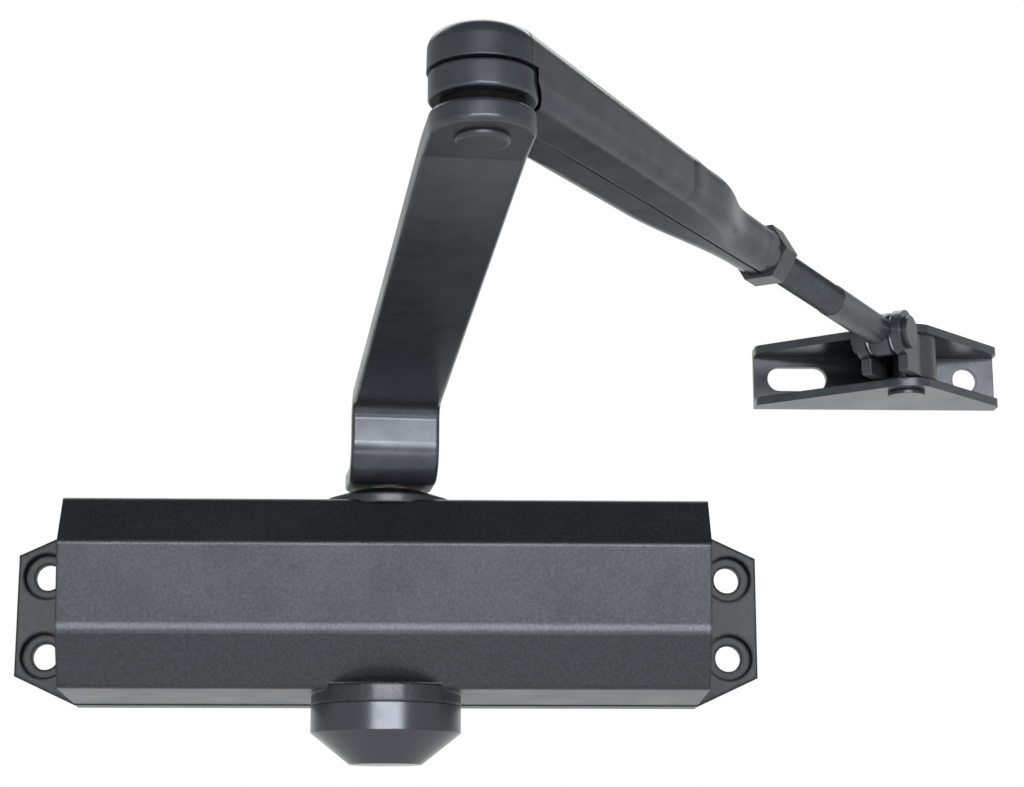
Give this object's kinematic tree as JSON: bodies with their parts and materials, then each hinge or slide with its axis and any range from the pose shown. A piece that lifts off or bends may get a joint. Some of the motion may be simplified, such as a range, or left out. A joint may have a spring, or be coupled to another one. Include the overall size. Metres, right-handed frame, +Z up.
{
  "type": "hydraulic door closer",
  "caption": "Surface door closer: faceted body with piston, rack and spindle, flat main arm, folded forearm, adjusting rod and frame shoe.",
  "frame": {"origin": "middle of the four body screw holes, on the face that lies against the door", "axes": "+X along the body towards the frame shoe, -Y out of the door, +Z up along the spindle"},
  "size_m": [0.2386, 0.1993, 0.1119],
  "materials": {
    "body_paint": "satin",
    "arm_paint": "satin",
    "cap_plastic": "satin",
    "turned_steel": "machined",
    "zinc_steel": "zinc plated",
    "spring_steel": "oiled",
    "bearing_bronze": "machined",
    "seal_rubber": "matte"
  },
  "bodies": {
    "closer_body": {"body_casting": "body_paint", "left_end_plug": "body_paint", "right_end_plug": "body_paint", "left_plug_seal": "seal_rubber", "right_plug_seal": "seal_rubber", "shaft_seals": "seal_rubber", "spindle_bearings": "bearing_bronze", "top_collar": "body_paint", "lower_nut": "turned_steel", "bottom_cap": "cap_plastic", "spring_seat": "turned_steel", "closing_spring": "spring_steel"},
    "spindle_and_arm": {"spindle": "turned_steel", "main_arm": "arm_paint", "arm_screw_washer": "zinc_steel", "arm_screw": "zinc_steel", "elbow_pin": "arm_paint", "elbow_spacer": "arm_paint", "elbow_ring": "arm_paint"},
    "piston": {"piston": "turned_steel", "check_valve_ball": "turned_steel", "check_valve_retainer": "bearing_bronze"},
    "closing_valve": {"closing_speed_valve": "zinc_steel", "closing_valve_seal": "seal_rubber"},
    "latching_valve": {"latching_speed_valve": "zinc_steel", "latching_valve_seal": "seal_rubber"},
    "forearm": {"forearm_pressing": "arm_paint", "lock_nut": "arm_paint"},
    "rod": {"adjusting_rod": "arm_paint"},
    "stirrup": {"stirrup": "arm_paint", "eye_washers": "zinc_steel", "stirrup_pin": "arm_paint"},
    "shoe": {"frame_shoe": "arm_paint", "shoe_pin": "arm_paint", "shoe_washers": "arm_paint"}
  },
  "joints": [
    {"name": "spindle_turn", "type": "hinge", "parent": "closer_body", "child": "spindle_and_arm", "pos_m": [0, -0.02, 0], "axis": [0, 0, 1], "range_deg": [0, 150], "stiffness_Nm_per_rad": 1.5, "springref_deg": -20.05},
    {"name": "piston_slide", "type": "slide", "parent": "closer_body", "child": "piston", "axis": [1, 0, 0], "range_m": [-0.0197, 0], "deforming": ["closing_spring"]},
    {"name": "closing_valve_turn", "type": "hinge", "parent": "closer_body", "child": "closing_valve", "pos_m": [0.073, -0.0318, 0.0182], "axis": [1, 0, 0], "range_deg": [-180, 180]},
    {"name": "latching_valve_turn", "type": "hinge", "parent": "closer_body", "child": "latching_valve", "pos_m": [0.073, -0.0155, 0.0196], "axis": [1, 0, 0], "range_deg": [-180, 180]},
    {"name": "elbow_turn", "type": "hinge", "parent": "spindle_and_arm", "child": "forearm", "pos_m": [0.01871, -0.18997, 0.065], "axis": [0, 0, 1], "range_deg": [-140, 25]},
    {"name": "rod_adjust", "type": "slide", "parent": "forearm", "child": "rod", "axis": [0.5294, 0.8477, -0.0326], "range_m": [-0.02, 0.012]},
    {"name": "stirrup_tilt", "type": "hinge", "parent": "rod", "child": "stirrup", "pos_m": [0.11608, -0.03404, 0.0636], "axis": [-0.8482, 0.5297, 0], "range_deg": [-10, 10]},
    {"name": "shoe_swivel", "type": "hinge", "parent": "stirrup", "child": "shoe", "pos_m": [0.1236, -0.022, 0.06], "axis": [0, 0, 1], "range_deg": [-90, 15]}
  ],
  "couplings": [
    {"joint": "piston_slide", "follows": "spindle_turn", "m_per_rad": -0.0075}
  ]
}
